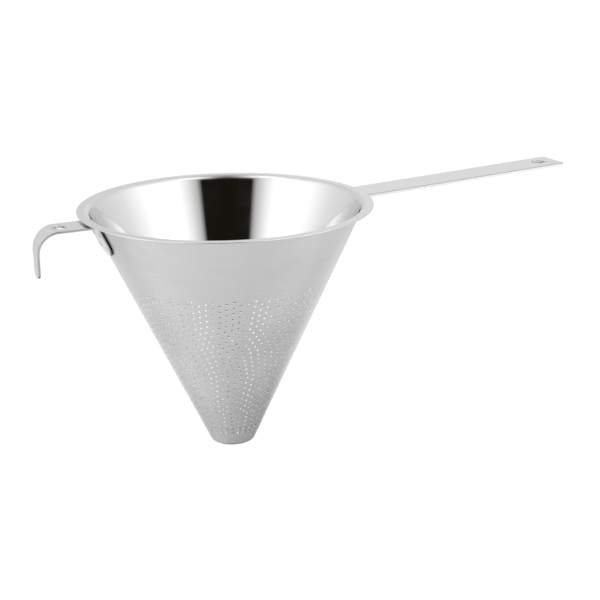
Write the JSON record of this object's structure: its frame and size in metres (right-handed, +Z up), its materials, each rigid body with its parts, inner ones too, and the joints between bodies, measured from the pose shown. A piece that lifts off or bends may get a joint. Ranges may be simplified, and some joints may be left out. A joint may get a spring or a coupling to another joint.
{
  "type": "chinois strainer",
  "caption": "Conical sheet-steel strainer with a flat rim, fine round perforation, a closed tip, a flat strap handle with a hanging hole and a strap hook that holds it on a pan.",
  "frame": {"origin": "centre of the rim's top plane, on the cone's axis", "axes": "+Z up the cone's axis, out of the mouth; +X along the handle, away from the cone, so the hook is on -X"},
  "size_m": [0.3806, 0.19, 0.1658],
  "materials": {
    "sheet_steel": "satin outside, polished inside",
    "strap_steel": "polished",
    "weld_steel": "satin"
  },
  "bodies": {
    "root": {"strainer_cone": "sheet_steel", "handle": "strap_steel", "pan_hook": "strap_steel", "handle_spot_welds": "weld_steel", "hook_spot_welds": "weld_steel"}
  },
  "joints": []
}
